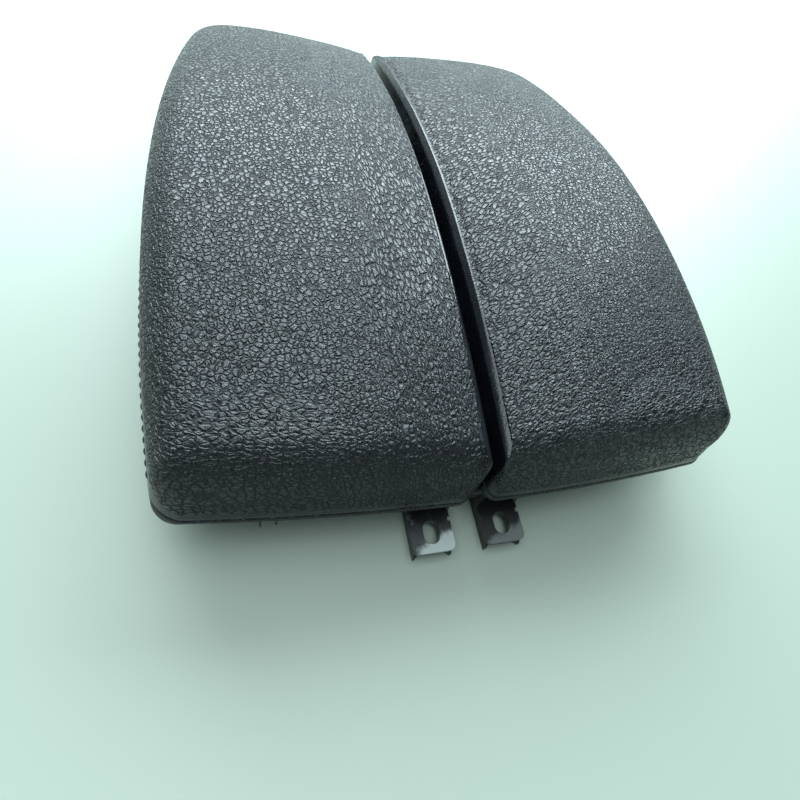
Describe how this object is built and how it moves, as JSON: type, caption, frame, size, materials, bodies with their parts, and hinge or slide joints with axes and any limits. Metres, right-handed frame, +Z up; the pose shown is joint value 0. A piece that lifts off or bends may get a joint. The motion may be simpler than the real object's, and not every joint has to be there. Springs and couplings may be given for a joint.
{
  "type": "split padded armrest",
  "caption": "Split armrest: two mirrored leather pads, each a lid that hinges on a slotted steel bracket and has a sprung latch at the front.",
  "frame": {"origin": "middle of the slit between the pads, halfway along the object, on the plane that rails and buffers stand on", "axes": "+X to the right-hand pad, +Y from the hinge end to the front, +Z up"},
  "size_m": [0.2436, 0.3037, 0.0723],
  "materials": {
    "black_leather": "semi-gloss pebbled grain",
    "foam": "open-cell polyurethane foam",
    "black_plastic": "fine moulded texture",
    "bush_plastic": "natural acetal",
    "black_steel": "black electrocoat, worn at the edges",
    "zinc_steel": "zinc plated",
    "spring_steel": "oiled spring steel",
    "black_rubber": "matt moulded rubber"
  },
  "bodies": {
    "hinge_base": {"bracket_left": "black_steel", "bracket_right": "black_steel", "rail_left": "black_steel", "rail_right": "black_steel", "hinge_shaft": "black_steel", "shaft_spacer": "black_steel", "shaft_clips": "spring_steel", "friction_washers": "spring_steel"},
    "left_lid": {"hinge_arm_left": "black_steel", "hinge_bushes_left": "bush_plastic", "arm_screws_left": "zinc_steel", "base_shell_left": "black_plastic", "underside_cover_left": "black_plastic", "cover_screws_left": "zinc_steel", "foam_core_left": "foam", "leather_top_left": "black_leather", "leather_border_left": "black_leather", "bump_stops_left": "black_rubber", "latch_housing_left": "black_plastic", "housing_screws_left": "zinc_steel", "latch_pin_left": "zinc_steel", "latch_spring_left": "spring_steel", "trim_staple_left": "spring_steel"},
    "right_lid": {"hinge_arm_right": "black_steel", "hinge_bushes_right": "bush_plastic", "arm_screws_right": "zinc_steel", "base_shell_right": "black_plastic", "underside_cover_right": "black_plastic", "cover_screws_right": "zinc_steel", "foam_core_right": "foam", "leather_top_right": "black_leather", "leather_border_right": "black_leather", "bump_stops_right": "black_rubber", "latch_housing_right": "black_plastic", "housing_screws_right": "zinc_steel", "latch_pin_right": "zinc_steel", "latch_spring_right": "spring_steel"},
    "left_latch": {"latch_lever_left": "black_plastic"},
    "right_latch": {"latch_lever_right": "black_plastic"}
  },
  "joints": [
    {"name": "left_lid_hinge", "type": "hinge", "parent": "hinge_base", "child": "left_lid", "pos_m": [-0.016, -0.1281, 0.0166], "axis": [1, 0, 0], "range_deg": [0, 72]},
    {"name": "right_lid_hinge", "type": "hinge", "parent": "hinge_base", "child": "right_lid", "pos_m": [0.016, -0.1281, 0.0166], "axis": [1, 0, 0], "range_deg": [0, 72]},
    {"name": "left_latch_pivot", "type": "hinge", "parent": "left_lid", "child": "left_latch", "pos_m": [-0.057, 0.1299, 0.014], "axis": [1, 0, 0], "range_deg": [0, 14], "stiffness_Nm_per_rad": 0.05, "springref_deg": -20.05},
    {"name": "right_latch_pivot", "type": "hinge", "parent": "right_lid", "child": "right_latch", "pos_m": [0.057, 0.1299, 0.014], "axis": [1, 0, 0], "range_deg": [0, 14], "stiffness_Nm_per_rad": 0.05, "springref_deg": -20.05}
  ]
}
